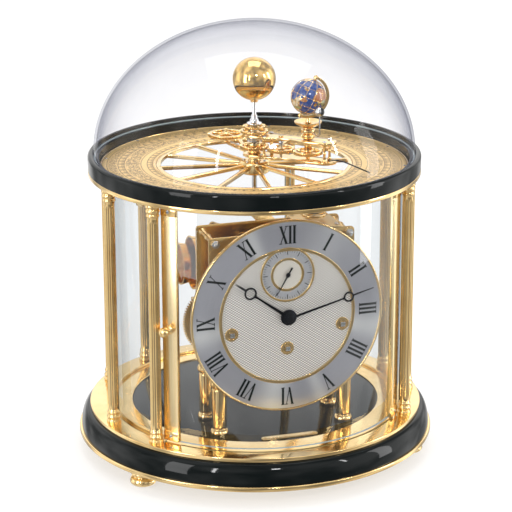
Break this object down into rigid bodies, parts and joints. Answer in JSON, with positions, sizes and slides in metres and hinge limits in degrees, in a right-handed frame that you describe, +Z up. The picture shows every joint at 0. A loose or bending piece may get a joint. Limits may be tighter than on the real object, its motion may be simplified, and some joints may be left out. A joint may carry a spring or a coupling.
{
  "type": "table clock",
  "caption": "round brass and black lacquer table clock with a curved glass case, key-wound chiming movement and a sun, earth and moon model under a glass dome",
  "frame": {"origin": "middle of the underside, on the vertical axis of the round case, at the height of the feet's soles", "axes": "+Z up; the dial faces -Y; +X is to the right of someone facing the dial"},
  "size_m": [0.2696, 0.2696, 0.326],
  "materials": {
    "polished_brass": "polished and lacquered",
    "satin_brass": "fine brushed, engraved on the calendar plate and dial centre",
    "black_lacquer": "deep gloss black lacquer",
    "silvered_metal": "satin silvered, brushed round the centre",
    "bright_steel": "polished steel",
    "blued_steel": "blue-black polished steel",
    "clear_glass": "clear, polished",
    "globe_enamel": "blue stone with inlaid land and gold grid lines"
  },
  "bodies": {
    "case": {"foot_right": "polished_brass", "foot_left": "polished_brass", "foot_back": "polished_brass", "base_trim": "polished_brass", "base_plate": "polished_brass", "column_right_1": "polished_brass", "column_right_2": "polished_brass", "column_right_3": "polished_brass", "column_right_4": "polished_brass", "column_left_1": "polished_brass", "column_left_2": "polished_brass", "column_left_3": "polished_brass", "column_left_4": "polished_brass", "top_plate": "polished_brass", "spoke_wheel": "polished_brass", "sun_gear": "polished_brass", "leg_front_left": "polished_brass", "leg_front_right": "polished_brass", "leg_back_left": "polished_brass", "leg_back_right": "polished_brass", "name_plate": "satin_brass", "calendar_plate": "satin_brass", "movement_front_plate": "satin_brass", "movement_back_plate": "satin_brass", "escapement_platform": "satin_brass", "bell_stack": "satin_brass", "dial_plate": "satin_brass", "base_cushion": "black_lacquer", "floor_disc": "black_lacquer", "black_ring": "black_lacquer", "chapter_ring": "silvered_metal", "glass_right": "clear_glass", "glass_back": "clear_glass", "glass_left": "clear_glass"},
    "door": {"door_glass": "clear_glass", "door_hinge_stile": "polished_brass", "door_knob_stile": "polished_brass", "door_knob": "polished_brass"},
    "dome": {"dome": "clear_glass"},
    "minute_hand": {"minute_hand": "blued_steel"},
    "hour_hand": {"hour_hand": "blued_steel"},
    "seconds_hand": {"seconds_hand": "blued_steel"},
    "chime_barrel": {"chime_barrel": "polished_brass"},
    "strike_barrel": {"strike_barrel": "polished_brass"},
    "time_barrel": {"time_barrel": "polished_brass"},
    "balance": {"balance_wheel": "polished_brass"},
    "hammer": {"chime_hammer": "polished_brass"},
    "tellurium_arm": {"drive_shaft": "bright_steel", "arm_lower": "polished_brass", "arm_upper": "polished_brass", "counter_wheel": "polished_brass", "sun_post": "bright_steel", "sun_ball": "polished_brass", "calendar_pointer": "blued_steel"},
    "idler": {"idler_gear": "polished_brass"},
    "earth_carrier": {"earth_post": "polished_brass", "meridian_ring": "polished_brass"},
    "globe": {"globe": "globe_enamel"},
    "moon": {"moon_arm": "bright_steel", "moon_ball": "silvered_metal"}
  },
  "joints": [
    {"name": "door_hinge", "type": "hinge", "parent": "case", "child": "door", "pos_m": [0.08445, -0.07341, 0.125], "axis": [0, 0, 1], "range_deg": [0, 100]},
    {"name": "dome_lift", "type": "slide", "parent": "case", "child": "dome", "axis": [0, 0, 1], "range_m": [0, 0.12]},
    {"name": "minute_spin", "type": "hinge", "parent": "case", "child": "minute_hand", "pos_m": [0, -0.085, 0.1255], "axis": [0, 1, 0], "continuous": true},
    {"name": "hour_spin", "type": "hinge", "parent": "case", "child": "hour_hand", "pos_m": [0, -0.083, 0.1255], "axis": [0, 1, 0], "continuous": true},
    {"name": "seconds_spin", "type": "hinge", "parent": "case", "child": "seconds_hand", "pos_m": [0, -0.0815, 0.157], "axis": [0, 1, 0], "continuous": true},
    {"name": "chime_barrel_turn", "type": "hinge", "parent": "case", "child": "chime_barrel", "pos_m": [-0.042, -0.05, 0.1155], "axis": [0, 1, 0], "continuous": true},
    {"name": "strike_barrel_turn", "type": "hinge", "parent": "case", "child": "strike_barrel", "pos_m": [0.042, -0.05, 0.1155], "axis": [0, 1, 0], "continuous": true},
    {"name": "time_barrel_turn", "type": "hinge", "parent": "case", "child": "time_barrel", "pos_m": [0, -0.05, 0.101], "axis": [0, 1, 0], "continuous": true},
    {"name": "balance_swing", "type": "hinge", "parent": "case", "child": "balance", "pos_m": [0.03, -0.05, 0.191], "axis": [0, 0, 1], "range_deg": [-135, 135], "stiffness_Nm_per_rad": 0.00002},
    {"name": "hammer_swing", "type": "hinge", "parent": "case", "child": "hammer", "pos_m": [-0.024, 0.037, 0.11], "axis": [1, 0, 0], "range_deg": [-18, 3], "stiffness_Nm_per_rad": 0.02},
    {"name": "arm_turn", "type": "hinge", "parent": "case", "child": "tellurium_arm", "pos_m": [0, 0, 0.23], "axis": [0, 0, 1], "continuous": true},
    {"name": "idler_spin", "type": "hinge", "parent": "tellurium_arm", "child": "idler", "pos_m": [0.01623, -0.0141, 0.232], "axis": [0, 0, 1], "continuous": true},
    {"name": "earth_turn", "type": "hinge", "parent": "tellurium_arm", "child": "earth_carrier", "pos_m": [0.03245, -0.02821, 0.25], "axis": [0, 0, 1], "continuous": true},
    {"name": "globe_spin", "type": "hinge", "parent": "earth_carrier", "child": "globe", "pos_m": [0.03245, -0.02821, 0.274], "axis": [0.3987, 0, 0.9171], "continuous": true},
    {"name": "moon_orbit", "type": "hinge", "parent": "tellurium_arm", "child": "moon", "pos_m": [0.03245, -0.02821, 0.248], "axis": [0, 0, 1], "continuous": true}
  ],
  "couplings": [
    {"joint": "hour_spin", "follows": "minute_spin", "ratio": 0.083333},
    {"joint": "idler_spin", "follows": "arm_turn", "ratio": 1.0476},
    {"joint": "earth_turn", "follows": "arm_turn", "ratio": -1},
    {"joint": "moon_orbit", "follows": "arm_turn", "ratio": 12.368}
  ]
}
